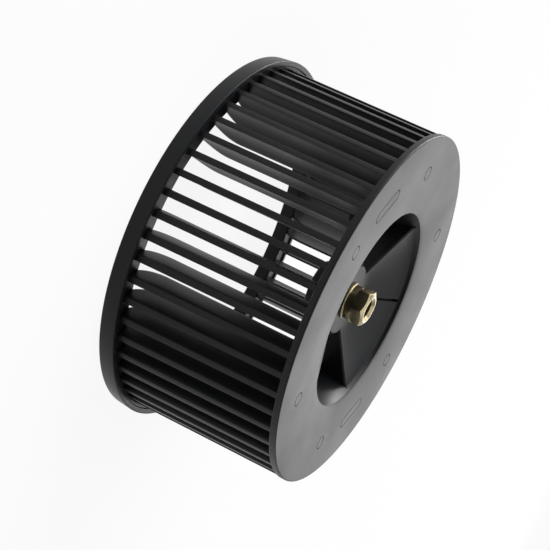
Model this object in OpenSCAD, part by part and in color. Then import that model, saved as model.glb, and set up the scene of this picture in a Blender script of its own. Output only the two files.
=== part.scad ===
// Squirrel-cage blower wheel: a moulded cage with its back plate, a separate end ring
// pressed over the blade tips, and a turned hub bush moulded into the hub.
// It stands on the end ring, with the spin axis along Z and the back plate on top.

/* [Wheel] */
// Overall height, from the foot of the end ring to the face of the back plate
wheel_h = 78; // [60:1:110]
// Diameter of the back plate
plate_d = 152; // [146:1:156]
// Thickness of the back plate at its rim
plate_t = 3; // [2:0.25:5]
// Radius on the two edges of the rim
rim_round = 0.6; // [0.2:0.1:0.9]

/* [Blades] */
// Number of blades round the cage
blade_count = 54; // [30:6:60]
// Depth of a blade, measured along the radius
blade_depth = 10.9; // [8:0.1:13]
// Width of the land on the outer edge of a blade
blade_land = 2.6; // [1.8:0.1:3.2]
// Thickness of a blade at its inner edge
blade_inner_t = 0.9; // [0.6:0.1:1.4]
// How far the inner edge stands clockwise of the middle of the land
blade_lean = 1.5; // [0:0.1:3]
// Turn of the first blade from the Y axis
blade_turn = 1; // [0:0.1:6]
// Rise of the arc on the convex face
back_rise = 0.35; // [0.1:0.05:0.6]
// Rise of the arc on the hollow face
front_rise = 0.7; // [0.4:0.05:1]
// Step from the rim of the plate in to the lands
blade_inset = 0.5; // [0.2:0.1:1]
// Growth in radius of the lands from the plate to the end ring
blade_draft = 0.9; // [0:0.1:1.5]
// How far the inner edges are cut back at the end ring
inlet_cut = 6.1; // [4:0.1:7]
// Height over which the inner edges are cut back
inlet_cut_h = 10.7; // [8:0.1:16]

/* [Dish] */
// Diameter of the dish where its lip turns into its wall
lip_d = 84.6; // [76:0.2:96]
// Radius of the rounded lip
lip_round = 3; // [2.5:0.1:4]
// Thickness of the walls of the dish
web_t = 2.2; // [1.6:0.1:2.4]
// Depth at which the wall of the dish meets the petals
petal_depth = 4.3; // [3.6:0.1:5.5]
// Depth of the face of the hub below the face of the plate
hub_depth = 11.5; // [9:0.5:16]
// Diameter of the face of the hub
hub_d = 29.6; // [26:0.2:34]
// Depth of the skirt round the hub, below its face
hub_skirt_h = 6; // [5:0.5:9]
// How far the skirt flares out on the way down
hub_flare = 4.8; // [3:0.1:6]
// Length of the boss that holds the bush, below the face of the hub
boss_h = 14.5; // [12:0.5:20]
// Wall of the boss round the bush
boss_wall = 5.2; // [3:0.1:6]

/* [Air openings] */
// Number of open sectors in the dish
window_count = 2; // [2:1:3]
// Angle that one open sector spans
window_angle = 58; // [40:1:64]
// Direction of the clockwise edge of the first open sector
window_turn = 161.9; // [0:0.1:360]
// Distance from the axis to the line of each window edge
window_offset = 2.3; // [0:0.1:4]
// Depth of the wall that hangs in each open sector, below the face of the plate
scoop_depth = 17; // [12:0.5:22]
// Depth of the cheeks along the edges of the open sectors, below the face of the plate
cheek_depth = 16; // [12:0.5:20]
// Thickness of the cheeks
cheek_t = 1.8; // [1.2:0.1:2.4]
// Width of the slit that parts each pair of petals
slit_w = 1.2; // [0.8:0.1:2]
// Direction of the first slit
slit_turn = 102; // [60:1:140]
// Bevel along the edges of the windows and slits
edge_bevel = 0.55; // [0.2:0.05:0.8]

/* [End ring] */
// Gap from the lands of the blades to the inside of the band
band_gap = 1.2; // [0.6:0.1:3]
// Height of the band of the end ring
ring_h = 7.1; // [6:0.1:10]
// Taper of the band towards its foot, on the radius
ring_draft = 0.7; // [0.2:0.1:1]
// Wall of the band
band_t = 1.7; // [1.2:0.1:2]
// Drop from the top of the band to the floor between the blades
floor_drop = 0.8; // [0.5:0.1:1.2]
// Thickness of the floor of the end ring
floor_t = 4.2; // [4:0.1:4.8]
// Wall of the collar round the inlet
collar_t = 1.6; // [1.2:0.1:2.5]
// Depth of the pockets that take the blade tips
pocket_h = 3; // [2:0.1:3.2]
// Play round a blade tip in its pocket
tip_play = 0.12; // [0.05:0.01:0.2]
// Play under a blade tip in its pocket
tip_gap = 0.2; // [0.1:0.05:0.4]
// Land between the inlet edge and the pockets
inlet_land = 0.9; // [0.6:0.1:1.5]

/* [Hub bush] */
// Depth of the top of the bush below the face of the plate
bush_drop = 1.8; // [0.5:0.1:3]
// Width across the flats of the hexagon
hex_af = 14; // [13:0.5:17]
// Height of the hexagon
hex_h = 5.7; // [4:0.1:6.5]
// Turned chamfer on the corners of the hexagon
hex_chamfer = 1.15; // [0.6:0.05:1.2]
// Direction of one corner of the hexagon
hex_turn = 45.5; // [0:0.5:60]
// Diameter of the round collar under the hexagon
neck_d = 14.4; // [13:0.1:15]
// Diameter of the seat flange at the foot of the collar
flange_d = 15.6; // [15.2:0.1:18]
// Thickness of the seat flange
flange_t = 0.8; // [0.5:0.1:1.2]
// Diameter of the shank inside the hub
shank_d = 12; // [11:0.2:12.8]
// Bore of the bush
bore_d = 8; // [6:0.5:9]
// Chamfer at the mouths of the bore
bore_chamfer = 0.7; // [0.3:0.1:1]
// Depth of the retaining groove in the shank
groove_depth = 0.7; // [0.4:0.1:1]

/* [Mould marks] */
// Number of round ejector marks on the face of the plate
mark_count = 6; // [0:1:12]
// Diameter of an ejector mark
mark_d = 6; // [4:0.5:8]
// Pitch circle diameter of the marks
mark_pcd = 120; // [110:1:130]
// Direction of the first ejector mark
mark_turn = 13.9; // [0:0.1:60]
// Depth of the marks
mark_depth = 0.15; // [0.05:0.05:0.3]
// Pitch circle diameter of the long insert marks
insert_pcd = 118; // [110:1:130]
// Length of a long insert mark
insert_l = 19; // [12:0.5:24]
// Width of a long insert mark
insert_w = 5; // [3:0.5:7]
// Directions of the long insert marks
insert_turns = [42.9, 230.2];

/* [Hidden] */
$fn = 96;

// Overlap of solids that are joined into one piece
weld = 0.5;
// How far a cut runs past the solid that it cuts
past = 1;
plate_r = plate_d / 2;
plate_under = wheel_h - plate_t;

// Blade cage
land_r = plate_r - blade_inset;
inner_r = land_r - blade_depth;
tip_land_r = land_r + blade_draft;
inlet_r = inner_r + inlet_cut;

// End ring
floor_z = ring_h - floor_drop;
pocket_z = floor_z - pocket_h;
ring_inner_r = inlet_r - inlet_land / 2;
tip_inner_r = inlet_r + inlet_land / 2;
band_in = tip_land_r + band_gap;
foot_r = band_in + band_t;
ring_r = foot_r + ring_draft;
foot_round = 0.5;
ring_edge = 0.3;

// Dish, with depths below the face of the plate turned into heights
lip_r = lip_d / 2;
petal_z = wheel_h - petal_depth;
hub_z = wheel_h - hub_depth;
hub_r = hub_d / 2;
// Lean of the dish wall from upright, and the radii it reaches on the way down
wall_lean = 17;
wall_head = [lip_r + lip_round * (1 - cos(wall_lean)), wheel_h - lip_round * (1 - sin(wall_lean))];
wall_top_r = wall_head[0] - (wall_head[1] - petal_z) * tan(wall_lean);
scoop_z = wheel_h - scoop_depth;
cheek_z = wheel_h - cheek_depth;
scoop_r = wall_head[0] - (wall_head[1] - scoop_z) * tan(wall_lean);
petal_slope = atan((petal_z - hub_z) / (wall_top_r - hub_r));
// Fillet where the wall turns into a petal, and its centre
wall_round = 3;
turn_half = 45 + (wall_lean + petal_slope) / 2;
fillet_centre = [wall_top_r, petal_z] + wall_round / sin(turn_half)
    * [cos(90 - wall_lean + turn_half), sin(90 - wall_lean + turn_half)];
lip_centre = [lip_r + lip_round, wheel_h - lip_round];
// Thickness of the hub under its face
hub_face_t = 1.5 * web_t;
boss_r = shank_d / 2 + boss_wall;

// Hub bush
bush_top = wheel_h - bush_drop;
hex_foot = bush_top - hex_h;
bush_foot = hub_z - boss_h;
groove_z = (hub_z + bush_foot) / 2;
groove_h = 2.4;

// Points of a circular arc, from angle a0 to angle a1
function arc(c, r, a0, a1, n = 8) =
    [for (i = [0:n]) c + r * [cos(a0 + (a1 - a0) * i / n), sin(a0 + (a1 - a0) * i / n)]];

// Radius of the arc over a chord of length l that rises by s
function rise_radius(l, s) = (l * l / 4 + s * s) / (2 * s);

// Centre, to the left of the way from p to q, of the arc through both that rises by s
function arc_centre(p, q, s) =
    let (l = norm(q - p), along = (q - p) / l, across = [-along[1], along[0]])
    (p + q) / 2 + across * (rise_radius(l, s) - s);

// Corners of the blade section: land edges at the outside, blade edges at the inside
back_out = [-blade_land / 2, land_r];
back_in = [-blade_lean - blade_inner_t / 2, inner_r];
front_out = [blade_land / 2, land_r];
front_in = [-blade_lean + blade_inner_t / 2, inner_r];
back_radius = rise_radius(norm(back_out - back_in), back_rise);
front_radius = rise_radius(norm(front_out - front_in), front_rise);

// One blade in section, standing along +Y, with play added to both faces
module blade_section(play = 0) {
    side = 2 * blade_land + blade_lean;
    difference() {
        intersection() {
            translate(arc_centre(back_out, back_in, back_rise))
                circle(r = back_radius + play, $fn = 240);
            translate([-side, inner_r - past])
                square([2 * side, blade_depth + blade_draft + 2 * past]);
        }
        translate(arc_centre(front_out, front_in, front_rise))
            circle(r = front_radius - play, $fn = 240);
    }
}

// All blades in section
module cage_section(play = 0) {
    for (i = [0:blade_count - 1])
        rotate(blade_turn + i * 360 / blade_count) mirror([1, 0]) blade_section(play);
}

// Outline that a blade fills in radius and height: full depth above, swept back
// in an arc to the inlet, with a narrow tip for the pocket
module blade_outline() {
    arc_top = floor_z + inlet_cut_h;
    cut_radius = rise_radius(2 * inlet_cut_h, inlet_cut);
    intersection() {
        union() {
            translate([inner_r, arc_top])
                square([plate_r, wheel_h - arc_top]);
            intersection() {
                translate([inner_r + cut_radius, arc_top]) circle(r = cut_radius);
                translate([inner_r, floor_z]) square([plate_r, inlet_cut_h]);
            }
            translate([tip_inner_r, pocket_z + tip_gap])
                square([plate_r, pocket_h]);
        }
        polygon([
            [inner_r, 0],
            [tip_land_r, 0],
            [tip_land_r, pocket_z],
            [land_r, plate_under],
            [land_r, plate_under + weld],
            [inner_r, plate_under + weld]
        ]);
    }
}

// The blades, straight along the axis
module blades() {
    intersection() {
        linear_extrude(wheel_h) cage_section();
        rotate_extrude() blade_outline();
    }
}

// Section of the back plate from the rim in to the lip, under the face first
plate_path = concat(
    [[inner_r - plate_t, wheel_h - web_t]],
    [[inner_r - web_t, plate_under]],
    arc([plate_r - rim_round, plate_under + rim_round], rim_round, -90, 0, 4),
    arc([plate_r - rim_round, wheel_h - rim_round], rim_round, 0, 90, 4)
);

// Point of the petal face at radius r, set down by t square to the face
function petal_point(r, t = 0) =
    [r + t * sin(petal_slope), hub_z + (r - hub_r) * tan(petal_slope) - t * cos(petal_slope)];

// Back plate with lip, wall and petals all the way round
module petal_disc() {
    root_r = hub_r - web_t;
    rotate_extrude() polygon(concat(
        plate_path,
        arc(lip_centre, lip_round, 90, 180 - wall_lean),
        arc(fillet_centre, wall_round, -wall_lean, petal_slope - 90),
        [petal_point(root_r)],
        [petal_point(root_r, web_t)],
        arc(fillet_centre, wall_round + web_t, petal_slope - 90, -wall_lean),
        arc(lip_centre, lip_round - web_t, 180 - wall_lean, 90)
    ));
}

// Back plate with lip and hanging wall all the way round
module scoop_disc() {
    rotate_extrude() polygon(concat(
        plate_path,
        arc(lip_centre, lip_round, 90, 180 - wall_lean),
        [[scoop_r, scoop_z]],
        [[scoop_r + web_t / cos(wall_lean), scoop_z]],
        arc(lip_centre, lip_round - web_t, 180 - wall_lean, 90)
    ));
}

// Half-plane on the anticlockwise side of a window edge that points along turn
module beside_edge(turn, size) {
    rotate(turn) translate([-size, -window_offset]) square([2 * size, size + window_offset]);
}

// Plan of one open sector, between its clockwise and anticlockwise edges
module window_plan(r0, r1) {
    difference() {
        intersection() {
            circle(r = r1);
            beside_edge(0, r1);
            rotate(window_angle / 2) translate([0, -r1]) square([r1, 2 * r1]);
        }
        beside_edge(window_angle, r1);
        circle(r = r0);
    }
}

// The open sectors as prisms through the dish and the plate
module window_prisms() {
    translate([0, 0, scoop_z - past]) linear_extrude(scoop_depth + 2 * past)
        at_windows() window_plan(hub_r - past, lip_r + lip_round + past);
}

// Plan of the strips under the petals, along both edges of each open sector
module cheek_plan() {
    at_windows() {
        translate([0, -window_offset - cheek_t]) square([lip_r, cheek_t + weld]);
        rotate(window_angle) translate([0, -window_offset - weld]) square([lip_r, cheek_t + weld]);
    }
}

// Cheeks that hang from the edges of the petals and box in the open sectors
module cheeks() {
    intersection() {
        rotate_extrude() polygon([
            [hub_r - web_t, cheek_z],
            [scoop_r + (cheek_z - scoop_z) * tan(wall_lean) + web_t / 2, cheek_z],
            [wall_top_r + web_t / 2, petal_z - web_t / 2],
            petal_point(wall_top_r, web_t / 2),
            petal_point(hub_r - web_t, web_t / 2)
        ]);
        translate([0, 0, cheek_z - past]) linear_extrude(wheel_h - cheek_z) cheek_plan();
    }
}

// Slits that part the petals, with a bevel on both edges
module slits() {
    for (i = [0:window_count - 1])
        rotate(slit_turn + i * 360 / window_count) {
            translate([hub_r, -slit_w / 2, hub_z - web_t - past])
                cube([wall_top_r - hub_r, slit_w, hub_depth]);
            for (s = [-1, 1])
                bevel_bar(s * slit_w / 2);
        }
}

module at_windows() {
    for (i = [0:window_count - 1])
        rotate(window_turn + i * 360 / window_count) children();
}

// A long square bar laid corner up along the top edge of a petal
module bevel_bar(offset) {
    run = wall_top_r - hub_r;
    bar = edge_bevel * sqrt(2);
    translate([hub_r, offset, hub_z]) rotate([0, -petal_slope, 0])
        translate([-weld, 0, 0]) rotate([45, 0, 0])
            translate([0, -bar / 2, -bar / 2]) cube([run / cos(petal_slope), bar, bar]);
}

// Dish with petals, open sectors with their hanging walls, and slits
module dish() {
    difference() {
        petal_disc();
        window_prisms();
        at_windows() for (turn = [0, window_angle])
            rotate(turn) bevel_bar(-window_offset);
        slits();
    }
    intersection() {
        scoop_disc();
        window_prisms();
    }
    difference() {
        cheeks();
        window_prisms();
    }
}

// Hub: a face for the bush, a flared skirt and a boss
module hub_solid() {
    skirt_z = hub_z - hub_skirt_h;
    rotate_extrude() polygon([
        [0, hub_z],
        [hub_r, hub_z],
        [hub_r + hub_flare, skirt_z],
        [hub_r + hub_flare - web_t, skirt_z],
        [hub_r - web_t, hub_z - hub_face_t],
        [boss_r, hub_z - hub_face_t],
        [boss_r, bush_foot],
        [0, bush_foot]
    ]);
}

module mould_marks() {
    top = wheel_h - mark_depth;
    for (i = [0:mark_count - 1])
        rotate(mark_turn + i * 360 / mark_count)
            translate([mark_pcd / 2, 0, top]) cylinder(d = mark_d, h = past);
    for (turn = insert_turns)
        rotate(turn) translate([insert_pcd / 2, 0, top]) {
            for (s = [-1, 1])
                translate([0, s * (insert_l - insert_w) / 2, 0])
                    cylinder(d = insert_w, h = past);
            translate([-insert_w / 2, -(insert_l - insert_w) / 2, 0])
                cube([insert_w, insert_l - insert_w, past]);
        }
}

module impeller() {
    color("#232426") difference() {
        union() {
            dish();
            hub_solid();
            blades();
        }
        mould_marks();
        bush_solid();
    }
}

// Outer shape of the bush without its bore
module bush_solid() {
    rotate_extrude() polygon([
        [0, hex_foot],
        [neck_d / 2, hex_foot],
        [neck_d / 2, hub_z + flange_t],
        [flange_d / 2, hub_z + flange_t],
        [flange_d / 2, hub_z],
        [shank_d / 2, hub_z],
        [shank_d / 2, groove_z + groove_h / 2],
        [shank_d / 2 - groove_depth, groove_z + groove_h / 2],
        [shank_d / 2 - groove_depth, groove_z - groove_h / 2],
        [shank_d / 2, groove_z - groove_h / 2],
        [shank_d / 2, bush_foot],
        [0, bush_foot]
    ]);
}

// Hexagon head with its corners turned to a cone
module hex_head() {
    corner_r = hex_af / sqrt(3);
    top_r = corner_r - 2 * hex_chamfer;
    intersection() {
        translate([0, 0, hex_foot]) rotate(hex_turn) cylinder(r = corner_r, h = hex_h, $fn = 6);
        rotate_extrude() polygon([
            [0, hex_foot],
            [corner_r, hex_foot],
            [corner_r, bush_top - hex_chamfer],
            [top_r, bush_top],
            [0, bush_top]
        ]);
    }
}

module hub_bush() {
    color("#b99a52") difference() {
        union() {
            bush_solid();
            hex_head();
        }
        rotate_extrude() polygon([
            [0, bush_top + past],
            [bore_d / 2 + bore_chamfer + past, bush_top + past],
            [bore_d / 2, bush_top - bore_chamfer],
            [bore_d / 2, bush_foot + bore_chamfer],
            [bore_d / 2 + bore_chamfer + past, bush_foot - past],
            [0, bush_foot - past]
        ]);
    }
}

// Outline of the end ring: band, floor with an upturned edge outside, inlet collar
module ring_outline() {
    polygon(concat(
        arc([foot_r - foot_round, foot_round], foot_round, -90, 0, 4),
        [[ring_r, ring_h - ring_edge]],
        [[ring_r - ring_edge, ring_h]],
        [[band_in + ring_edge, ring_h]],
        [[band_in, floor_z]],
        [[ring_inner_r, floor_z]],
        [[ring_inner_r, 0]],
        [[ring_inner_r + collar_t, 0]],
        [[ring_inner_r + collar_t, floor_z - floor_t]],
        [[band_in, floor_z - floor_t]],
        [[band_in, 0]]
    ));
}

module end_ring() {
    color("#1f2022") difference() {
        rotate_extrude() ring_outline();
        intersection() {
            translate([0, 0, pocket_z]) linear_extrude(pocket_h + past) cage_section(tip_play);
            rotate_extrude()
                translate([tip_inner_r - tip_play, pocket_z])
                    square([tip_land_r - tip_inner_r + 2 * tip_play, pocket_h + past]);
        }
    }
}

impeller();
end_ring();
hub_bush();
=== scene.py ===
"""Blower wheel: a moulded cage of curved blades under a dished back plate, closed by
an end ring and carried by a brass hub bush.

Every size is in metres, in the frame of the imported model: +Z runs along the spin axis
from the open inlet end up to the back plate, and the end ring stands on Z = 0.
"""

from math import asin, atan2, cos, degrees, pi, radians, sin, sqrt, tan

import bmesh
import bpy
from bpy.props import FloatProperty, FloatVectorProperty, IntProperty, PointerProperty
from mathutils import Matrix, Vector


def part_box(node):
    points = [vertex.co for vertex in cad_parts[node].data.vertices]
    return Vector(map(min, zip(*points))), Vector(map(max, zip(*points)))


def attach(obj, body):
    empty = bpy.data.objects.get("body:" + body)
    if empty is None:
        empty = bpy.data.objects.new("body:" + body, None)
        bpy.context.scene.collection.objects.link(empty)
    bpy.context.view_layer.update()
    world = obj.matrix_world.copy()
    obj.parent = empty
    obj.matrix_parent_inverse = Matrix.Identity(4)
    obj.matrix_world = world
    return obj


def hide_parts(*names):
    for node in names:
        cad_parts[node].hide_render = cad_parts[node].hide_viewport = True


bl_info = {
    "name": "Blower Wheel",
    "version": (1, 0, 0),
    "blender": (4, 5, 0),
    "location": "View3D > Sidebar > Blower Wheel",
    "description": "Builds a squirrel-cage blower wheel around its packed CAD frame",
    "category": "Add Mesh",
}

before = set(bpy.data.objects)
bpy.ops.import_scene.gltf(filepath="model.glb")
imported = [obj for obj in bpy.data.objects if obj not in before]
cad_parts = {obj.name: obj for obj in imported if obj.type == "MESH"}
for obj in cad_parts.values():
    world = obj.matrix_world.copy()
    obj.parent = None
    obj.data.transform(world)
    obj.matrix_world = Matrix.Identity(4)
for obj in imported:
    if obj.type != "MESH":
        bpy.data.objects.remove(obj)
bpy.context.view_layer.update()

MM = 0.001
PHOTO_SIZE = 550
STEPS_ROUND = 240
SMOOTH_ANGLE = radians(32)

# Corners nearer than this are one, in a new mesh and in one that booleans have cut
SAME_POINT = 1e-7
NEAR_POINT = 2e-6
# How far a cutter reaches past what it cuts
PAST = 1 * MM
# What keeps the sides of two joined solids from lying on each other
SKIN = 0.03 * MM
# Share of plain white in the floor, where the camera or a reflection shows it
FLOOR_GLOW = 0.9
# What the tarnish leaves of the red, green and blue of the brass
TARNISH = (0.9, 0.88, 0.8)


def srgb(code):
    """Linear RGB of an sRGB hex colour such as "#202224"."""
    parts = [int(code[i : i + 2], 16) / 255 for i in (1, 3, 5)]
    return [p / 12.92 if p <= 0.04045 else ((p + 0.055) / 1.055) ** 2.4 for p in parts]


def length(name, description, millimetres):
    """A length property with its default in millimetres."""
    return FloatProperty(
        name=name,
        description=description,
        default=millimetres * MM,
        min=0,
        unit="LENGTH",
        subtype="DISTANCE",
        precision=5,
    )


def angle(name, description, value):
    """An angle property with its default in degrees."""
    return FloatProperty(
        name=name,
        description=description,
        default=radians(value),
        unit="ROTATION",
        subtype="ANGLE",
    )


def colour(name, description, code):
    """A colour property with its default as sRGB hex."""
    return FloatVectorProperty(
        name=name,
        description=description,
        default=srgb(code),
        min=0,
        max=1,
        size=3,
        subtype="COLOR",
    )


class BlowerPlateSizes(bpy.types.PropertyGroup):
    """Sizes of the back plate with its dish and hub."""

    height: FloatProperty(
        name="Wheel Height",
        description="Height of the face of the plate above the foot of the end ring",
        default=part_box("impeller")[1][2],
        unit="LENGTH",
        subtype="DISTANCE",
    )
    diameter: length("Plate Diameter", "Outer diameter of the back plate", 152)
    thickness: length("Plate Thickness", "Thickness of the plate at its rim", 3)
    rim_round: length("Rim Radius", "Radius on both edges of the rim", 0.6)
    lip_diameter: length("Lip Diameter", "Where the lip turns into the wall", 84.6)
    lip_round: length("Lip Radius", "Radius of the lip, seen from below", 2.6)
    shoulder: length("Shoulder Width", "Where the face sinks towards the dish", 33)
    shoulder_drop: length("Shoulder Drop", "Depth of the edge of the dish", 1.4)
    petal_edge: length("Petal Edge", "Radius on the edge of the dish above a petal", 0.4)
    wall_lean: angle("Wall Lean", "Lean of the dish wall from upright", 17)
    web: length("Web", "Thickness of the walls of the dish", 2.2)
    petal_depth: length("Petal Depth", "Depth at which the wall meets the petals", 3.45)
    hub_depth: length("Hub Depth", "Depth of the face of the hub", 11.5)
    hub_diameter: length("Hub Diameter", "Diameter of the face of the hub", 29.6)
    hub_blend: length("Hub Blend", "Radius between the petals and the hub face", 22)
    petal_fillet: length("Petal Fillet", "Radius between the wall and a petal", 3)
    skirt_height: length("Skirt Height", "Height of the flared skirt under the hub", 6)
    skirt_flare: length("Skirt Flare", "How far the skirt flares out", 4.8)
    boss_length: length("Boss Length", "Length of the boss below the hub face", 14.5)
    boss_diameter: length("Boss Diameter", "Outer diameter of the boss", 22.4)
    window_angle: angle("Window Angle", "Angle that an open sector spans", 58)
    window_turn: angle("Window Turn", "Direction of the clockwise edge", 161.9)
    window_offset: length("Window Offset", "From the axis to the line of an edge", 2.3)
    scoop_depth: length("Scoop Depth", "Depth of the wall that hangs in a sector", 17)
    scoop_foot: length("Scoop Foot", "Radius along the foot of the hanging wall", 0.5)
    cheek_depth: length("Cheek Depth", "Depth of the cheeks beside a sector", 19)
    cheek: length("Cheek Thickness", "Thickness of the cheeks", 1.8)
    slit_width: length("Slit Width", "Width of the slit that parts two petals", 1.2)
    slit_depth: length("Slit Depth", "Depth of the slit in a petal", 1.5)
    slit_turn: angle("Slit Turn", "Direction of the first slit", 102)
    bevel: length("Edge Bevel", "Bevel along the edges of the petals", 0.55)
    mark_diameter: length("Mark Diameter", "Diameter of a round ejector mark", 6)
    mark_pitch: length("Mark Pitch Circle", "Pitch circle of the round marks", 120)
    mark_turn: angle("Mark Turn", "Direction of the first round mark", 13.9)
    mark_count: IntProperty(
        name="Mark Count", description="Number of round ejector marks", default=6, min=0
    )
    insert_pitch: length("Insert Pitch Circle", "Pitch circle of the long marks", 118)
    insert_length: length("Insert Length", "Length of a long insert mark", 19)
    insert_width: length("Insert Width", "Width of a long insert mark", 5)
    groove_width: length("Mark Groove Width", "Width of the line round a mark", 0.4)
    groove_depth: length("Mark Groove Depth", "Depth of the line round a mark", 0.35)


class BlowerBladeSizes(bpy.types.PropertyGroup):
    """Sizes of the blades of the cage."""

    count: IntProperty(name="Count", description="Number of blades", default=54, min=3)
    turn: angle("First Turn", "Turn of the first blade from the Y axis", 1)
    inset: length("Inset", "From the rim of the plate in to the land of a blade", 0.5)
    depth: length("Depth", "Depth of a blade along the radius", 10.9)
    land: length("Land", "Width of the land on the outer edge", 2.6)
    inner: length("Inner Thickness", "Thickness at the inner edge", 0.9)
    lean: length("Lean", "How far the inner edge stands clockwise of the land", 1.5)
    back_rise: length("Back Rise", "Rise of the arc on the convex face", 0.35)
    front_rise: length("Front Rise", "Rise of the arc on the hollow face", 0.7)
    draft: length("Draft", "Growth in radius from the plate to the end ring", 0.9)
    cut: length("Inlet Cut", "How far the inner edge is cut back at the inlet", 6.1)
    cut_height: length("Inlet Cut Height", "Height over which the cut runs", 10.7)
    edge: length("Edge Radius", "Radius on the long edges of a blade", 0.22)


class BlowerRingSizes(bpy.types.PropertyGroup):
    """Sizes of the end ring."""

    height: length("Band Height", "Height of the band", 7.1)
    gap: length("Band Gap", "From the lands of the blades to the band", 1.2)
    wall: length("Band Wall", "Wall of the band", 1.7)
    draft: length("Band Taper", "Taper of the band on the radius", 0.7)
    floor_drop: length("Floor Drop", "From the top of the band to the floor", 0.8)
    floor_thickness: length("Floor Thickness", "Thickness of the floor", 4.2)
    inner_land: length("Inner Land", "Land between the blade feet and the inlet", 0.45)
    collar: length("Collar", "Wall of the collar round the inlet", 1.6)
    edge: length("Edge Radius", "Radius on the edges of the band", 0.35)


class BlowerBushSizes(bpy.types.PropertyGroup):
    """Sizes of the hub bush."""

    drop: length("Drop", "From the face of the plate down to the top of the bush", 1.8)
    flats: length("Across Flats", "Width of the hexagon across its flats", 14)
    hex_height: length("Hexagon Height", "Height of the hexagon", 5.7)
    chamfer: length("Corner Chamfer", "Height of the turned chamfer", 1.15)
    hex_turn: angle("Hexagon Turn", "Direction of one corner", 45.5)
    neck: length("Collar Diameter", "Diameter of the round collar", 14.4)
    flange: length("Flange Diameter", "Diameter of the seat flange", 15.6)
    flange_height: length("Flange Height", "Height of the seat flange", 0.8)
    flange_fillet: length("Flange Fillet", "Radius from the collar to the flange", 0.58)
    shank: length("Shank Diameter", "Diameter of the shank in the hub", 12)
    bore: length("Bore", "Diameter of the bore", 8)
    bore_chamfer: length("Bore Chamfer", "Chamfer at the mouths of the bore", 1.1)
    groove: length("Groove Depth", "Depth of the retaining groove", 0.7)
    edge: length("Edge Radius", "Broken edges left by turning", 0.07)


class BlowerFinish(bpy.types.PropertyGroup):
    """Colours of the finishes and of the stage."""

    plastic: colour("Plastic", "Black of the moulded plastic", "#18191B")
    brass: colour("Brass", "Colour of the turned brass", "#A5997B")
    floor: colour("Floor", "Colour of the pale floor", "#F4F4F3")


def add_node(tree, kind, at, inputs=None, **settings):
    """Adds a node to a tree with its settings, and its inputs set or linked."""
    made = tree.nodes.new(kind)
    made.location = at
    for key, value in settings.items():
        setattr(made, key, value)
    for key, value in (inputs or {}).items():
        socket = made.inputs[key]
        if isinstance(value, bpy.types.NodeSocket):
            tree.links.new(value, socket)
        else:
            socket.default_value = value
    return made


def math_node(tree, operation, at, *values):
    """A math node with its operands set or linked."""
    inputs = dict(enumerate(values))
    return add_node(tree, "ShaderNodeMath", at, inputs, operation=operation)


def map_range(tree, at, value, low, high, start=0.0, end=1.0):
    """The output of a node that maps a value from start..end to low..high."""
    inputs = {"Value": value, "To Min": low, "To Max": high}
    inputs |= {"From Min": start, "From Max": end}
    return add_node(tree, "ShaderNodeMapRange", at, inputs).outputs["Result"]


def noise(tree, at, place, scale, detail):
    """A noise texture over the coordinates of an object."""
    inputs = {"Vector": place.outputs["Object"], "Scale": scale, "Detail": detail}
    return add_node(tree, "ShaderNodeTexNoise", at, inputs)


def bump(tree, at, texture, strength, distance):
    """The normal that a texture's relief gives."""
    inputs = {"Height": texture.outputs["Fac"]}
    inputs |= {"Strength": strength, "Distance": distance}
    return add_node(tree, "ShaderNodeBump", at, inputs).outputs["Normal"]


def ray_kinds(tree):
    """Outputs that are 1 for a camera ray, and for one off or through a surface."""
    path = add_node(tree, "ShaderNodeLightPath", (-1000, 300)).outputs
    glossy, through = path["Is Glossy Ray"], path["Is Transmission Ray"]
    mirrored = math_node(tree, "MAXIMUM", (-780, 200), glossy, through)
    return path["Is Camera Ray"], mirrored.outputs[0]


def material_and_tree(name):
    """The material of a name with its empty tree, or with None if it was made before."""
    if name in bpy.data.materials:
        return bpy.data.materials[name], None
    material = bpy.data.materials.new(name)
    material.use_nodes = True
    material.node_tree.nodes.clear()
    return material, material.node_tree


def moulded_plastic(finish):
    """Glass-filled polyamide, injection moulded in black.

    A fine spark-eroded mould grain breaks up the gloss, and the flow of the melt leaves
    the sheen a little uneven, so the eye sees a satin black that turns grey at a
    grazing angle.
    """
    material, tree = material_and_tree("Moulded Black Polyamide")
    if tree is None:
        return material
    place = add_node(tree, "ShaderNodeTexCoord", (-1100, 0))
    flow = noise(tree, (-880, 160), place, scale=45.0, detail=3.0)
    rough = map_range(
        tree, (-640, 160), flow.outputs["Fac"], low=0.35, high=0.41, start=0.3, end=0.7
    )
    # The real grain is near 0.1 mm. It is drawn at about 0.8 mm so that it shows.
    grain = noise(tree, (-880, -160), place, scale=1250.0, detail=2.0)
    shader = add_node(
        tree,
        "ShaderNodeBsdfPrincipled",
        (-360, 0),
        {
            "Base Color": (*finish.plastic, 1),
            "Roughness": rough,
            "IOR": 1.53,
            "Specular IOR Level": 0.15,
            "Normal": bump(tree, (-640, -160), grain, strength=0.12, distance=0.12 * MM),
        },
    )
    add_node(tree, "ShaderNodeOutputMaterial", (0, 0), {"Surface": shader.outputs[0]})
    return material


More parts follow.
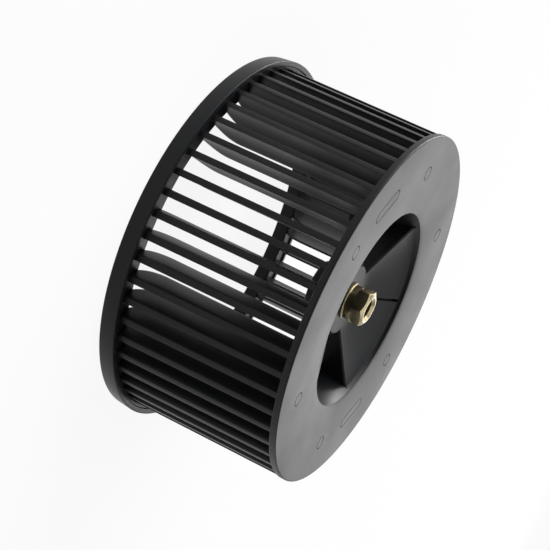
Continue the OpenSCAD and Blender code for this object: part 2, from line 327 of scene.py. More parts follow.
def turned_brass(finish):
    """Free-cutting brass bar, turned on a lathe and left bare.

    The tool leaves fine rings about the axis, which draw the highlight out across
    them, and a thin tarnish warms the yellow in patches.
    """
    material, tree = material_and_tree("Turned Brass")
    if tree is None:
        return material
    place = add_node(tree, "ShaderNodeTexCoord", (-1300, 0))
    patches = noise(tree, (-1080, 240), place, scale=110.0, detail=1.0).outputs["Fac"]
    tarnished = [part * left for part, left in zip(finish.brass, TARNISH)]
    warm = add_node(
        tree,
        "ShaderNodeMixRGB",
        (-640, 300),
        {"Fac": patches, "Color1": (*finish.brass, 1), "Color2": (*tarnished, 1)},
    )
    # Tool marks are near 0.1 mm apart. They are drawn about 0.35 mm apart.
    rings = add_node(
        tree,
        "ShaderNodeTexWave",
        (-1080, -200),
        {"Vector": place.outputs["Object"], "Scale": 900.0, "Distortion": 0.6},
        wave_type="RINGS",
        rings_direction="Z",
    )
    shader = add_node(
        tree,
        "ShaderNodeBsdfPrincipled",
        (-360, 0),
        {
            "Base Color": warm.outputs["Color"],
            "Metallic": 1.0,
            "Roughness": map_range(tree, (-640, 60), patches, low=0.24, high=0.32),
            "Normal": bump(tree, (-640, -200), rings, strength=0.04, distance=0.01 * MM),
        },
    )
    add_node(tree, "ShaderNodeOutputMaterial", (0, 0), {"Surface": shader.outputs[0]})
    return material


def pale_floor(finish):
    """Matt white studio board. The camera sees it nearly white, with a soft shadow."""
    material, tree = material_and_tree("Matt White Board")
    if tree is None:
        return material
    seen = math_node(tree, "MAXIMUM", (-560, 300), *ray_kinds(tree))
    share = math_node(tree, "MULTIPLY", (-260, 300), seen.outputs[0], FLOOR_GLOW)
    paint = {"Color": (*finish.floor, 1), "Roughness": 1.0}
    board = add_node(tree, "ShaderNodeBsdfDiffuse", (-260, 60), paint)
    white = {"Color": (1, 1, 1, 1), "Strength": 1.0}
    glow = add_node(tree, "ShaderNodeEmission", (-260, -100), white)
    both = add_node(
        tree,
        "ShaderNodeMixShader",
        (0, 0),
        {0: share.outputs[0], 1: board.outputs[0], 2: glow.outputs[0]},
    )
    add_node(tree, "ShaderNodeOutputMaterial", (220, 0), {"Surface": both.outputs[0]})
    return material


def new_object(name, points, faces):
    """A mesh object from points and faces, with doubles merged and normals outward."""
    mesh = bpy.data.meshes.new(name)
    mesh.from_pydata(points, [], faces)
    work = bmesh.new()
    work.from_mesh(mesh)
    bmesh.ops.remove_doubles(work, verts=work.verts, dist=SAME_POINT)
    bmesh.ops.recalc_face_normals(work, faces=work.faces)
    work.to_mesh(mesh)
    work.free()
    made = bpy.data.objects.new(name, mesh)
    bpy.context.scene.collection.objects.link(made)
    return made


def lathe(name, outline, steps=STEPS_ROUND):
    """A closed outline of (radius, height) turned round the Z axis."""
    count = len(outline)
    points = []
    for i in range(steps):
        a = 2 * pi * i / steps
        points += [(r * cos(a), r * sin(a), z) for r, z in outline]
    faces = []
    for i in range(steps):
        here, there = i * count, (i + 1) % steps * count
        for k in range(count):
            n = (k + 1) % count
            faces.append((here + k, there + k, there + n, here + n))
    made = new_object(name, points, faces)
    mend_mesh(made)
    return made


def mend_mesh(piece):
    """Merges close corners, drops flat faces and loose edges, turns normals out."""
    work = bmesh.new()
    work.from_mesh(piece.data)
    bmesh.ops.remove_doubles(work, verts=work.verts, dist=NEAR_POINT)
    bmesh.ops.dissolve_degenerate(work, dist=SAME_POINT, edges=work.edges)
    loose = [edge for edge in work.edges if not edge.link_faces]
    bmesh.ops.delete(work, geom=loose, context="EDGES")
    bmesh.ops.recalc_face_normals(work, faces=work.faces)
    work.to_mesh(piece.data)
    work.free()


def loft(name, sections, ring=False):
    """A solid through sections that hold the same number of points.

    Its ends are capped, or in a ring joined to each other.
    """
    count, total = len(sections[0]), len(sections)
    points = [p for section in sections for p in section]
    faces = []
    if not ring:
        faces = [tuple(range(count)), tuple(range(len(points) - count, len(points)))]
    for i in range(total if ring else total - 1):
        a, b = i * count, (i + 1) % total * count
        for k in range(count):
            n = (k + 1) % count
            faces.append((a + k, a + n, b + n, b + k))
    return new_object(name, points, faces)


def prism(name, plan, low, high):
    """A closed prism over a plan of (x, y) points."""
    return loft(name, [[(x, y, low) for x, y in plan], [(x, y, high) for x, y in plan]])


def arc(centre, radius, first, last, steps=8):
    """Points on an arc between two angles in degrees."""
    turns = [radians(first + (last - first) * i / steps) for i in range(steps + 1)]
    return [(centre[0] + radius * cos(a), centre[1] + radius * sin(a)) for a in turns]


def circle(centre, radius, steps):
    """Points round a whole circle."""
    return arc(centre, radius, 0, 360 - 360 / steps, steps - 1)


def eased(corners, steps=4):
    """A closed outline through (x, y, radius) corners, round where the radius isn't 0."""
    done = []
    for i, (x, y, radius) in enumerate(corners):
        if not radius:
            done.append((x, y))
            continue
        here = Vector((x, y))
        back = (Vector(corners[i - 1][:2]) - here).normalized()
        ahead = (Vector(corners[(i + 1) % len(corners)][:2]) - here).normalized()
        half = back.angle(ahead) / 2
        middle = here + (back + ahead).normalized() * radius / sin(half)
        start = here + back * radius / tan(half) - middle
        end = here + ahead * radius / tan(half) - middle
        sweep = start.angle_signed(end)
        for k in range(steps + 1):
            spin = Matrix.Rotation(-sweep * k / steps, 2)
            done.append(tuple(middle + spin @ start))
    return done


def apply_modifiers(piece):
    """Replaces a piece's mesh by the result of its modifiers, and removes them."""
    graph = bpy.context.evaluated_depsgraph_get()
    mesh = bpy.data.meshes.new_from_object(piece.evaluated_get(graph))
    piece.modifiers.clear()
    piece.data = mesh


def combine(target, tools, operation, joined=False):
    """Cuts, joins or intersects a solid with others, which are then deleted.

    With joined, the others are made one solid first.
    """
    if joined:
        combine(tools[0], tools[1:], "UNION")
        tools = tools[:1]
    for tool in tools:
        change = target.modifiers.new(tool.name, "BOOLEAN")
        change.operation = operation
        change.solver = "EXACT"
        change.object = tool
    apply_modifiers(target)
    for tool in tools:
        bpy.data.objects.remove(tool)


def copies_tree():
    """The node tree that repeats a mesh round the Z axis."""
    name = "Copies Round Axis"
    if name in bpy.data.node_groups:
        return bpy.data.node_groups[name]
    tree = bpy.data.node_groups.new(name, "GeometryNodeTree")
    for label, way, kind in (
        ("Geometry", "INPUT", "NodeSocketGeometry"),
        ("Count", "INPUT", "NodeSocketInt"),
        ("First Turn", "INPUT", "NodeSocketFloat"),
        ("Material", "INPUT", "NodeSocketMaterial"),
        ("Geometry", "OUTPUT", "NodeSocketGeometry"),
    ):
        tree.interface.new_socket(label, in_out=way, socket_type=kind)
    given = add_node(tree, "NodeGroupInput", (-900, 0)).outputs
    still = {"Count": given["Count"], "Offset": (0, 0, 0)}
    centres = add_node(tree, "GeometryNodeMeshLine", (-600, 200), still)
    index = add_node(tree, "GeometryNodeInputIndex", (-900, -240)).outputs[0]
    pitch = math_node(tree, "DIVIDE", (-720, -160), 2 * pi, given["Count"]).outputs[0]
    first = given["First Turn"]
    turn = math_node(tree, "MULTIPLY_ADD", (-540, -160), index, pitch, first)
    spin = add_node(tree, "ShaderNodeCombineXYZ", (-360, -160), {"Z": turn.outputs[0]})
    copies = add_node(
        tree,
        "GeometryNodeInstanceOnPoints",
        (-160, 0),
        {
            "Points": centres.outputs["Mesh"],
            "Instance": given["Geometry"],
            "Rotation": spin.outputs["Vector"],
        },
    )
    placed = {"Geometry": copies.outputs[0]}
    real = add_node(tree, "GeometryNodeRealizeInstances", (40, 0), placed)
    plain_mesh = {"Geometry": real.outputs[0], "Material": given["Material"]}
    finished = add_node(tree, "GeometryNodeSetMaterial", (240, 0), plain_mesh)
    add_node(tree, "NodeGroupOutput", (440, 0), {"Geometry": finished.outputs[0]})
    return tree


def repeat_round(piece, count, first_turn, material=None):
    """Repeats a piece round the axis with the node tree, as one plain mesh."""
    tree = copies_tree()
    change = piece.modifiers.new(tree.name, "NODES")
    change.node_group = tree
    values = {"Count": count, "First Turn": float(first_turn), "Material": material}
    for item in tree.interface.items_tree:
        if item.in_out == "INPUT" and values.get(item.name) is not None:
            change[item.identifier] = values[item.name]
    apply_modifiers(piece)
    return piece


def finish_piece(piece, material, slot, *nodes):
    """Gives a piece its material and shading, and puts it in place of its CAD nodes."""
    piece.data.materials.clear()
    piece.data.materials.append(material)
    for polygon in piece.data.polygons:
        polygon.material_index = 0
    piece.data.shade_smooth()
    piece.data.set_sharp_from_angle(angle=SMOOTH_ANGLE)
    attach(piece, "root")
    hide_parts(*nodes)


def plate_under(plate):
    """Height of the underside of the plate at its rim."""
    return plate.height - plate.thickness


def ring_floor(ring):
    """Height of the floor of the end ring, where the blades stand."""
    return ring.height - ring.floor_drop


def land_radius(plate, blades):
    """Radius of the lands of the blades at the plate."""
    return plate.diameter / 2 - blades.inset


def inner_radius(plate, blades):
    """Radius of the inner edges of the blades."""
    return land_radius(plate, blades) - blades.depth


def rise_radius(chord, rise):
    """Radius of the arc over a chord that rises by a given height."""
    return (chord * chord / 4 + rise * rise) / (2 * rise)


class Dish:
    """Radii, heights and slope of the dish, which its parts share."""

    def __init__(self, sizes):
        self.sizes = p = sizes
        self.lean = degrees(p.wall_lean)
        self.lip_r, self.hub_r = p.lip_diameter / 2, p.hub_diameter / 2
        self.root_r = self.hub_r - 2 * p.web
        self.shoulder_r = self.lip_r + p.shoulder
        self.face_radius = rise_radius(2 * p.shoulder, p.shoulder_drop)
        self.edge_z = p.height - p.shoulder_drop
        self.petal_z, self.hub_z = p.height - p.petal_depth, p.height - p.hub_depth
        self.scoop_z, self.cheek_z = p.height - p.scoop_depth, p.height - p.cheek_depth
        self.boss_z = self.hub_z - p.boss_length
        self.petal_r = self.wall_r(self.petal_z)
        self.slope = atan2(self.petal_z - self.hub_z, self.petal_r - self.hub_r)

    def wall_r(self, z):
        """Radius of the face of the wall at a height."""
        p = self.sizes
        head_r = self.lip_r + p.lip_round * (1 - cos(p.wall_lean))
        head_z = p.height - p.lip_round * (1 - sin(p.wall_lean))
        return head_r - (head_z - z) * tan(p.wall_lean)

    def petal_point(self, r, down=0.0):
        """(radius, height) on the face of a petal, or a given distance below it."""
        z = self.hub_z + (r - self.hub_r) * tan(self.slope)
        return (r + down * sin(self.slope), z - down * cos(self.slope))


class BlowerOperator:
    """What the operators of the wheel share."""

    bl_options = {"REGISTER", "UNDO"}


class BLOWER_OT_back_plate(BlowerOperator, bpy.types.Operator):
    """Back plate with its rounded lip, dish, petals, open sectors, hub and marks"""

    bl_idname = "blower.back_plate"
    bl_label = "Back Plate"

    # Directions of the long insert marks, in degrees
    INSERT_TURNS = (42.9, 230.2)
    # The arc of the sunk face ends at this share, where the edge of the dish takes over
    FACE_SHARE = 0.9
    # How far the petals end below the face of the hub, so that the two cross
    HUB_OVERLAP = 0.12 * MM
    # How far a cheek stands out past the edge of its petal
    CHEEK_OVERHANG = 0.02 * MM
    # Radii on the edges of the hub, of its skirt and of its boss
    HUB_EDGE = 0.8 * MM
    SKIRT_EDGE = 0.4 * MM
    BOSS_EDGE = 0.5 * MM
    # Points round the outer and the inner arc of a sector, a pin mark and the bush seat
    OUTER_STEPS = 24
    INNER_STEPS = 12
    PIN_STEPS = 24
    SEAT_STEPS = 96

    def execute(self, context):
        scene = context.scene
        p = scene.blower_plate
        dish = Dish(p)
        plate = self.plate(p, dish, inner_radius(p, scene.blower_blades))
        combine(plate, [self.windows(p, dish)] + self.petal_cuts(p, dish), "DIFFERENCE")
        parts = [self.cheeks(p, dish), self.scoops(p, dish), self.hub(p, dish)]
        combine(plate, parts, "UNION")
        seat = self.bush_seat(scene.blower_bush, dish)
        combine(plate, self.mark_grooves(p, dish) + [seat], "DIFFERENCE")
        mend_mesh(plate)
        plastic = moulded_plastic(scene.blower_finish)
        finish_piece(plate, plastic, "black_plastic", "impeller")
        return {"FINISHED"}

    def plate(self, p, dish, step_r):
        """Plate, lip, wall and petals, turned in one."""
        slope = degrees(dish.slope)
        half = 45 + (dish.lean + slope) / 2
        reach = p.petal_fillet / sin(radians(half))
        out = radians(90 - dish.lean + half)
        fillet = (dish.petal_r + reach * cos(out), dish.petal_z + reach * sin(out))
        low_wall = arc(fillet, p.petal_fillet, -dish.lean, slope - 90)
        hollow = eased(
            [
                (*dish.petal_point(dish.petal_r), 0),
                (dish.hub_r, dish.hub_z, p.hub_blend),
                (dish.root_r, dish.hub_z - self.HUB_OVERLAP, 0),
            ],
            steps=6,
        )
        face = self.face_outline(p, dish, step_r)
        edge = (dish.wall_r(dish.edge_z), dish.edge_z, p.petal_edge)
        lip = (dish.lip_r + p.lip_round, p.height - p.lip_round)
        outline = face + eased([(*face[-1], 0), edge, (*low_wall[0], 0)])[1:-1]
        outline += low_wall + hollow[1:]
        outline.append((dish.root_r, dish.hub_z - p.web))
        outline.append(dish.petal_point(dish.hub_r, p.web))
        outline += arc(fillet, p.petal_fillet + p.web, slope - 90, -dish.lean)
        outline += arc(lip, p.lip_round - p.web, 180 - dish.lean, 90, steps=6)
        return lathe("back_plate", outline)

    def face_outline(self, p, dish, step_r):
        """From the underside round the rim and over the face to the edge of the dish."""
        top, under = p.height, plate_under(p)
        rim, ease = p.diameter / 2, p.rim_round
        outline = [(step_r - p.thickness, top - p.web), (step_r - p.web, under)]
        outline += arc((rim - ease, under + ease), ease, -90, 0, steps=5)
        outline += arc((rim - ease, top - ease), ease, 0, 90, steps=5)
        centre = (dish.shoulder_r, top - dish.face_radius)
        sweep = degrees(asin(p.shoulder / dish.face_radius)) * self.FACE_SHARE
        return outline + arc(centre, dish.face_radius, 90, 90 + sweep)

    def windows(self, p, dish):
        """Cutter of the open sectors, which follows the lean of the wall."""
        sections = []
        for z in (dish.cheek_z - PAST, p.height + PAST):
            plan = self.window_plan(p, dish.hub_r - PAST, dish.wall_r(z) - SKIN)
            sections.append([(x, y, z) for x, y in plan])
        return repeat_round(loft("window", sections), 2, p.window_turn)

    def window_plan(self, p, inner, outer, grow=0.0):
        """Plan of one open sector, whose first edge runs along +X."""
        points = []
        for radius, steps, forward in (
            (outer, self.OUTER_STEPS, True),
            (inner, self.INNER_STEPS, False),
        ):
            first = -asin((p.window_offset + grow) / radius)
            last = p.window_angle - asin((p.window_offset - grow) / radius)
            turns = [first + (last - first) * i / steps for i in range(steps + 1)]
            for a in turns if forward else reversed(turns):
                points.append((radius * cos(a), radius * sin(a)))
        return points

    def petal_cuts(self, p, dish):
        """Cutters of the slits, and of the bevels on the edges beside the sectors."""
        half, deep = p.slit_width / 2, -p.slit_depth
        slit = [(-half, p.web), (half, p.web), (half, deep), (-half, deep)]
        bevel = [(0, p.bevel), (-p.bevel, 0), (0, -p.bevel), (p.bevel, 0)]
        cuts = [repeat_round(self.petal_bar(dish, 0, slit), 2, p.slit_turn)]
        for turn in (p.window_turn, p.window_turn + p.window_angle):
            bar = self.petal_bar(dish, -p.window_offset, bevel)
            cuts.append(repeat_round(bar, 2, turn))
        return cuts

    def petal_bar(self, dish, at, section):
        """A bar of a given (across, up) section, laid along the face of a petal."""
        run = (dish.petal_r - dish.hub_r) / cos(dish.slope)
        ends = [[(x, across, up) for across, up in section] for x in (0, run)]
        bar = loft("petal_bar", ends)
        place = Matrix.Translation((dish.hub_r, at, dish.hub_z))
        bar.data.transform(place @ Matrix.Rotation(-dish.slope, 4, "Y"))
        return bar

    def cheeks(self, p, dish):
        """Walls under the petals that close the sides of the open sectors."""
        half = p.web / 2
        cheeks = lathe(
            "cheeks",
            [
                (dish.hub_r - half, dish.cheek_z),
                (dish.wall_r(dish.cheek_z) + half, dish.cheek_z),
                (dish.petal_r + half, dish.petal_z - half),
                dish.petal_point(dish.petal_r, half),
                dish.petal_point(dish.hub_r - half, half),
            ],
        )
        strips = [self.cheek_strips(p, dish, turn) for turn in (0, p.window_angle)]
        combine(cheeks, strips, "INTERSECT", joined=True)
        return cheeks

    def cheek_strips(self, p, dish, turn):
        """Strips beside one edge of each open sector, where the cheeks stand."""
        near, far = p.cheek, -self.CHEEK_OVERHANG
        if not turn:
            near, far = -near, -far
        low, high = sorted((near - p.window_offset, far - p.window_offset))
        inner, outer = dish.root_r, dish.lip_r
        plan = [(inner, low), (outer, low), (outer, high), (inner, high)]
        strip = prism("cheek_strip", plan, dish.cheek_z - PAST, p.height - PAST)
        return repeat_round(strip, 2, p.window_turn + turn)

    def scoops(self, p, dish):
        """Walls that hang in the open sectors, from inside the wall of the dish."""
        root_z, foot_z = dish.edge_z - PAST, dish.scoop_z
        root_r, foot_r = dish.wall_r(root_z), dish.wall_r(foot_z)
        near, far = SKIN / 3, p.web / cos(p.wall_lean) - SKIN
        corners = [
            (root_r + near, root_z, 0),
            (foot_r + near, foot_z, p.scoop_foot),
            (foot_r + far, foot_z, p.scoop_foot),
            (root_r + far, root_z, 0),
        ]
        scoops = lathe("scoops", eased(corners))
        outer = dish.lip_r + p.lip_round
        plan = self.window_plan(p, dish.hub_r + PAST, outer, grow=p.cheek / 2)
        span = prism("scoop_span", plan, foot_z - PAST, p.height)
        combine(scoops, [repeat_round(span, 2, p.window_turn)], "INTERSECT")
        return scoops

    def hub(self, p, dish):
        """Hub with its face, flared skirt and boss."""
        hub_r, boss_r, web = dish.hub_r, p.boss_diameter / 2, p.web
        skirt_r, skirt_z = hub_r + p.skirt_flare, dish.hub_z - p.skirt_height
        under = dish.hub_z - 1.5 * web
        corners = [
            (0, dish.hub_z, 0),
            (hub_r, dish.hub_z, self.HUB_EDGE),
            (skirt_r, skirt_z, self.SKIRT_EDGE),
            (skirt_r - web, skirt_z, self.SKIRT_EDGE),
            (hub_r - web, under, 0),
            (boss_r, under, self.HUB_EDGE),
            (boss_r, dish.boss_z, self.BOSS_EDGE),
            (0, dish.boss_z, 0),
        ]
        hub = lathe("hub", eased(corners))
        # Half a step of turn keeps its edges from meeting those of the petals.
        hub.data.transform(Matrix.Rotation(pi / STEPS_ROUND, 4, "Z"))
        return hub

    def mark_grooves(self, p, dish):
        """Cutters of the fine lines round the ejector pins and the long inserts."""
        radius = dish.face_radius
        sunk = radius - sqrt(radius**2 - (dish.shoulder_r - p.mark_pitch / 2) ** 2)
        low, high = p.height - sunk - p.groove_depth, p.height + PAST

        def groove(name, plan):
            """A line along a plan that is a function of how far it stands in."""
            loops = [(plan(0), low), (plan(p.groove_width), low)]
            loops += [(loop, high) for loop, _ in reversed(loops)]
            sections = [[(x, y, z) for x, y in loop] for loop, z in loops]
            return loft(name, sections, ring=True)

        def pin(inset):
            centre = (p.mark_pitch / 2, 0)
            return circle(centre, p.mark_diameter / 2 - inset, self.PIN_STEPS)

        def insert(inset):
            end = p.insert_width / 2
            r, y = p.insert_pitch / 2, p.insert_length / 2 - end
            far_end = arc((r, y), end - inset, 0, 180, steps=12)
            return far_end + arc((r, -y), end - inset, 180, 360, steps=12)

        cutters = [repeat_round(groove("pin_mark", pin), p.mark_count, p.mark_turn)]
        for turn in self.INSERT_TURNS:
            cutters.append(repeat_round(groove("insert_mark", insert), 1, radians(turn)))
        return cutters

    def bush_seat(self, bush, dish):
        """Cutter of the hole that the shank of the bush fills."""
        plan = circle((0, 0), bush.shank / 2, self.SEAT_STEPS)
        return prism("bush_seat", plan, dish.boss_z - PAST, dish.hub_z + PAST)


class BLOWER_OT_blades(BlowerOperator, bpy.types.Operator):
    """Cage of curved blades, one blade repeated round the axis"""

    bl_idname = "blower.blades"
    bl_label = "Blades"

    # How deep a blade sinks into the plate and into the floor of the end ring
    WELD = 0.5 * MM
    # Sections over the straight part, and degrees between those over the inlet cut
    STRAIGHT_STEPS = 3
    CUT_STEP = 6
    # Rows along the depth of a blade, and degrees at which its round edges have a row
    FACE_STEPS = 6
    EDGE_TURNS = (0, 30, 60, 90)

    def execute(self, context):
        scene = context.scene
        p, b, ring = scene.blower_plate, scene.blower_blades, scene.blower_ring
        land_r, inner_r = land_radius(p, b), inner_radius(p, b)
        land, thin = b.land / 2, b.inner / 2
        back = self.face_arc((-land, land_r), (-b.lean - thin, inner_r), b.back_rise)
        front = self.face_arc((land, land_r), (-b.lean + thin, inner_r), b.front_rise)
        cut_radius = rise_radius(2 * b.cut_height, b.cut)
        under, floor = plate_under(p), ring_floor(ring)
        arc_top, foot = floor + b.cut_height, floor - self.WELD
        heights = [under + self.WELD, under]
        steps, rise = self.STRAIGHT_STEPS, under - arc_top
        heights += [arc_top + rise * k / steps for k in reversed(range(steps))]
        turns = [radians(a) for a in range(self.CUT_STEP, 91, self.CUT_STEP)]
        heights += [arc_top - b.cut_height * sin(a) for a in turns]
        heights.append(foot)
        sections = []
        for z in heights:
            below = min(max(arc_top - z, 0), b.cut_height)
            inner = inner_r + cut_radius - sqrt(cut_radius**2 - below**2)
            share = (under - z) / (under - foot)
            outer = land_r + b.draft * max(share, 0)
            sections.append(self.section(back, front, inner, outer, b.edge, z))
        blades = loft("blades", sections)
        plastic = moulded_plastic(scene.blower_finish)
        repeat_round(blades, b.count, b.turn, plastic)
        finish_piece(blades, plastic, "black_plastic", "impeller")
        return {"FINISHED"}

    def face_arc(self, outer, inner, rise):
        """(centre, radius) of the arc of one face of a blade."""
        outer, inner = Vector(outer), Vector(inner)
        along = (inner - outer).normalized()
        radius = rise_radius((inner - outer).length, rise)
        centre = (outer + inner) / 2 + Vector((-along.y, along.x)) * (radius - rise)
        return centre, radius

    def section(self, back, front, inner, outer, edge, z):
        """Closed section of a blade at height z, with its long edges rounded."""

        def face(side, y):
            centre, radius = side
            return centre.x - sqrt(radius**2 - (y - centre.y) ** 2)

        def across(y, share):
            low, high = face(back, y), face(front, y)
            inset = min(edge, (high - low) / 2) * (1 - share)
            return low + inset, high - inset

        turns = [radians(a) for a in self.EDGE_TURNS]
        steps, depth = self.FACE_STEPS, outer - inner - 2 * edge
        rows = [(inner + edge * (1 - cos(a)), sin(a)) for a in turns]
        rows += [(inner + edge + depth * k / steps, 1) for k in range(1, steps)]
        rows += [(outer - edge * (1 - cos(a)), sin(a)) for a in reversed(turns)]
        pairs = [(across(y, share), y) for y, share in rows]
        # The section is mirrored, so that the inner edge stands clockwise of the land.
        low_side = [(-low, y, z) for (low, high), y in pairs]
        high_side = [(-high, y, z) for (low, high), y in reversed(pairs)]
        return low_side + high_side


class BLOWER_OT_end_ring(BlowerOperator, bpy.types.Operator):
    """End ring that closes the cage round the inlet"""

    bl_idname = "blower.end_ring"
    bl_label = "End Ring"

    STEPS = 300
    # Radii at the foot of the band, and in the corners above and below the floor
    FOOT_EDGE = 0.5 * MM
    UPPER_CORNER = 0.15 * MM
    LOWER_CORNER = 0.3 * MM

    def execute(self, context):
        scene = context.scene
        p, b, ring = scene.blower_plate, scene.blower_blades, scene.blower_ring
        band_in = land_radius(p, b) + b.draft + ring.gap
        foot_r = band_in + ring.wall
        floor = ring_floor(ring)
        under = floor - ring.floor_thickness
        inlet = inner_radius(p, b) + b.cut - ring.inner_land
        edge = ring.edge
        corners = [
            (foot_r, 0, self.FOOT_EDGE),
            (foot_r + ring.draft, ring.height, edge),
            (band_in, ring.height, edge),
            (band_in, floor, self.UPPER_CORNER),
            (inlet, floor, edge),
            (inlet, 0, edge),
            (inlet + ring.collar, 0, edge),
            (inlet + ring.collar, under, self.LOWER_CORNER),
            (band_in, under, self.LOWER_CORNER),
            (band_in, 0, edge),
        ]
        made = lathe("inlet_ring", eased(corners, steps=5), self.STEPS)
        plastic = moulded_plastic(scene.blower_finish)
        finish_piece(made, plastic, "black_plastic", "end_ring")
        return {"FINISHED"}


class BLOWER_OT_hub_bush(BlowerOperator, bpy.types.Operator):
    """Turned brass bush with a hexagon, a collar, a seat flange and a bore"""

    bl_idname = "blower.hub_bush"
    bl_label = "Hub Bush"

    STEPS = 144
    BORE_STEPS = 96
    EDGE_STEPS = 3
    # Half the height of the retaining groove
    GROOVE_HALF = 1.2 * MM
    # Edges of the hexagon that turn by more than this are broken
    SHARP_ANGLE = radians(40)

    def execute(self, context):
        scene = context.scene
        p, bush = scene.blower_plate, scene.blower_bush
        top, seat = p.height - bush.drop, p.height - p.hub_depth
        low, hex_foot = seat - p.boss_length, top - bush.hex_height
        body = self.body(bush, hex_foot, seat, low)
        combine(body, [self.hexagon(bush, hex_foot, top)], "UNION")
        combine(body, [self.drill(bush, top, low)], "DIFFERENCE")
        finish_piece(body, turned_brass(scene.blower_finish), "brass", "hub_bush")
        return {"FINISHED"}

    def body(self, bush, hex_foot, seat, low):
        """Collar, seat flange and grooved shank, turned in one."""
        neck, flange_r, shank = bush.neck / 2, bush.flange / 2, bush.shank / 2
        flange, middle = seat + bush.flange_height, (seat + low) / 2
        groove_r, half, edge = shank - bush.groove, self.GROOVE_HALF, bush.edge
        corners = [
            (0, hex_foot, 0),
            (neck, hex_foot, 0),
            (neck, flange, bush.flange_fillet),
            (flange_r, flange, edge),
            (flange_r, seat, edge),
            (shank, seat, 0),
            (shank, middle + half, 0),
            (groove_r, middle + half, 0),
            (groove_r, middle - half, 0),
            (shank, middle - half, 0),
            (shank, low, edge),
            (0, low, 0),
        ]
        return lathe("brass_bush", eased(corners, self.EDGE_STEPS), self.STEPS)

    def hexagon(self, bush, foot, top):
        """Hexagon with its corners turned down and its edges broken."""
        corner, edge = bush.flats / sqrt(3), bush.edge
        turns = [bush.hex_turn + radians(60 * k) for k in range(6)]
        plan = [(corner * cos(a), corner * sin(a)) for a in turns]
        head = prism("hexagon", plan, foot - edge, top)
        corners = [
            (0, foot - PAST, 0),
            (corner + PAST, foot - PAST, 0),
            (corner + PAST, top - bush.chamfer - PAST / 2, 0),
            (corner - 2 * bush.chamfer, top, edge),
            (0, top, 0),
        ]
        turned = lathe("chamfer", eased(corners, self.EDGE_STEPS), self.STEPS)
        combine(head, [turned], "INTERSECT")
        ease = head.modifiers.new("Edges", "BEVEL")
        ease.width = edge
        ease.segments = 2
        ease.angle_limit = self.SHARP_ANGLE
        apply_modifiers(head)
        return head

    def drill(self, bush, top, low):
        """Cutter of the bore with its chamfered mouths."""
        bore, chamfer = bush.bore / 2, bush.bore_chamfer
        wide = bore + chamfer + PAST
        outline = [
            (0, top + PAST),
            (wide, top + PAST),
            (bore, top - chamfer),
            (bore, low + chamfer),
            (wide, low - PAST),
            (0, low - PAST),
        ]
        return lathe("drill", outline, self.BORE_STEPS)


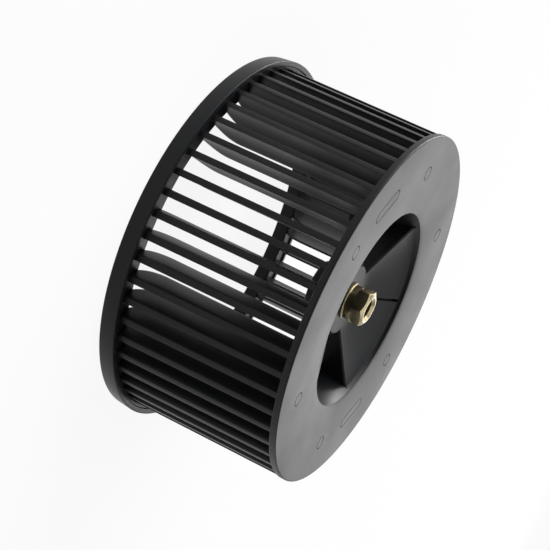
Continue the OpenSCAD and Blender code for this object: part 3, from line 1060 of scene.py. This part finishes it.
class BLOWER_OT_stage(BlowerOperator, bpy.types.Operator):
    """Pale floor, soft studio lights and the camera at the photographed angle"""

    bl_idname = "blower.stage"
    bl_label = "Stage"

    # Half the width of the floor, in metres
    FLOOR_REACH = 9

    # The camera stands in front of the wheel, looks down on it, and is rolled.
    CAMERA_AT = (0, -553.5 * MM, 222.9 * MM)
    CAMERA_AIM = (3.64 * MM, 0, 33.44 * MM)
    CAMERA_ROLL = 115.5
    FOCAL_PIXELS = 1416.7

    # The room: heights and depths are parts of a direction's length
    WALL_HEIGHT = 0.45
    CEILING_HEIGHT = 0.8
    CEILING_LEVEL = 0.3
    FRONT = -0.6
    BACK = 0.3
    FRONT_LEVEL = 0.12
    ROOM_LEVEL = 0.2

    # Softboxes: name, place, aim, width, height, watts
    SOFTBOXES = (
        ("top_softbox", (0, 0.2, 2.2), (0, 0, 0), 2.4, 2.4, 24.0),
        ("left_softbox", (-1.3, 0.1, 0.6), (0, 0, 0.04), 1.8, 1.4, 26.0),
        ("right_softbox", (1.0, -0.1, 0.15), (0, 0, 0.03), 1.2, 0.6, 2.0),
        ("back_softbox", (-0.4, 1.6, 0.5), (0, 0, 0.07), 1.6, 0.5, 5.2),
        ("corner_softbox", (-1.3, 0.9, 0.3), (0, 0, 0.07), 1.0, 0.4, 16.0),
    )

    def execute(self, context):
        scene = context.scene
        reach = self.FLOOR_REACH
        quarters = [(-reach, -reach), (reach, -reach), (reach, reach), (-reach, reach)]
        floor = new_object("floor", [(x, y, 0) for x, y in quarters], [(0, 1, 2, 3)])
        floor.data.materials.append(pale_floor(scene.blower_finish))
        for box in self.SOFTBOXES:
            self.softbox(scene, *box)
        self.surroundings(scene)
        self.camera(scene)
        scene.view_settings.view_transform = "Standard"
        return {"FINISHED"}

    def softbox(self, scene, name, place, aim, width, height, watts):
        """A rectangular area light that faces a point."""
        light = bpy.data.lights.new(name, "AREA")
        light.shape = "RECTANGLE"
        light.size, light.size_y = width, height
        light.energy = watts
        made = bpy.data.objects.new(name, light)
        made.location = place
        ahead = Vector(aim) - Vector(place)
        made.rotation_euler = ahead.to_track_quat("-Z", "Y").to_euler()
        scene.collection.objects.link(made)

    def surroundings(self, scene):
        """A soft grey room that the camera sees as white."""
        world = bpy.data.worlds.new("Studio")
        scene.world = world
        world.use_nodes = True
        tree = world.node_tree
        tree.nodes.clear()
        place = add_node(tree, "ShaderNodeTexCoord", (-1000, -100))
        seen = {"Vector": place.outputs["Generated"]}
        along = add_node(tree, "ShaderNodeSeparateXYZ", (-780, -100), seen).outputs
        camera, mirrored = ray_kinds(tree)
        # Reflections show white walls behind and beside the wheel, a dimmer ceiling,
        # and a dark room in front.
        ceiling, heights = self.CEILING_LEVEL, (self.WALL_HEIGHT, self.CEILING_HEIGHT)
        wall = map_range(tree, (-560, -100), along["Z"], 1.0, ceiling, *heights)
        front, depths = self.FRONT_LEVEL, (self.FRONT, self.BACK)
        behind = map_range(tree, (-560, -360), along["Y"], front, 1.0, *depths)
        studio = math_node(tree, "MULTIPLY", (-340, -100), wall, behind).outputs[0]
        reflected = map_range(tree, (-340, 200), mirrored, self.ROOM_LEVEL, studio)
        level = map_range(tree, (-160, 300), camera, reflected, 1.0)
        white = {"Color": (1, 1, 1, 1), "Strength": level}
        room = add_node(tree, "ShaderNodeBackground", (20, 0), white)
        add_node(tree, "ShaderNodeOutputWorld", (220, 0), {"Surface": room.outputs[0]})

    def camera(self, scene):
        """The camera at the photograph's angle."""
        data = bpy.data.cameras.new("camera")
        data.lens = self.FOCAL_PIXELS / PHOTO_SIZE * data.sensor_width
        made = bpy.data.objects.new("camera", data)
        place, aim = Vector(self.CAMERA_AT), Vector(self.CAMERA_AIM)
        ahead = (aim - place).normalized()
        side = ahead.cross(Vector((0, 0, 1))).normalized()
        above = side.cross(ahead)
        roll = radians(self.CAMERA_ROLL)
        right = cos(roll) * side + sin(roll) * above
        up = cos(roll) * above - sin(roll) * side
        turned = Matrix((right, up, -ahead)).transposed().to_4x4()
        made.matrix_world = Matrix.Translation(place) @ turned
        scene.collection.objects.link(made)
        scene.camera = made


class BLOWER_PT_panel(bpy.types.Panel):
    """Lists the sizes, the finishes and the operators of the wheel"""

    bl_idname = "BLOWER_PT_panel"
    bl_label = "Blower Wheel"
    bl_space_type = "VIEW_3D"
    bl_region_type = "UI"
    bl_category = "Blower Wheel"

    def draw(self, context):
        scene = context.scene
        for group, operator in (
            (scene.blower_plate, BLOWER_OT_back_plate),
            (scene.blower_blades, BLOWER_OT_blades),
            (scene.blower_ring, BLOWER_OT_end_ring),
            (scene.blower_bush, BLOWER_OT_hub_bush),
            (scene.blower_finish, BLOWER_OT_stage),
        ):
            box = self.layout.box()
            for name in group.bl_rna.properties.keys():
                if name not in ("rna_type", "name"):
                    box.prop(group, name)
            box.operator(operator.bl_idname)


CLASSES = (
    BlowerPlateSizes,
    BlowerBladeSizes,
    BlowerRingSizes,
    BlowerBushSizes,
    BlowerFinish,
    BLOWER_OT_back_plate,
    BLOWER_OT_blades,
    BLOWER_OT_end_ring,
    BLOWER_OT_hub_bush,
    BLOWER_OT_stage,
    BLOWER_PT_panel,
)
GROUPS = {
    "blower_plate": BlowerPlateSizes,
    "blower_blades": BlowerBladeSizes,
    "blower_ring": BlowerRingSizes,
    "blower_bush": BlowerBushSizes,
    "blower_finish": BlowerFinish,
}


def register():
    for item in CLASSES:
        bpy.utils.register_class(item)
    for name, group in GROUPS.items():
        setattr(bpy.types.Scene, name, PointerProperty(type=group))


def unregister():
    for name in GROUPS:
        delattr(bpy.types.Scene, name)
    for item in reversed(CLASSES):
        bpy.utils.unregister_class(item)


def main():
    register()
    bpy.ops.blower.back_plate()
    bpy.ops.blower.blades()
    bpy.ops.blower.end_ring()
    bpy.ops.blower.hub_bush()
    bpy.ops.blower.stage()


if __name__ == "__main__":
    main()
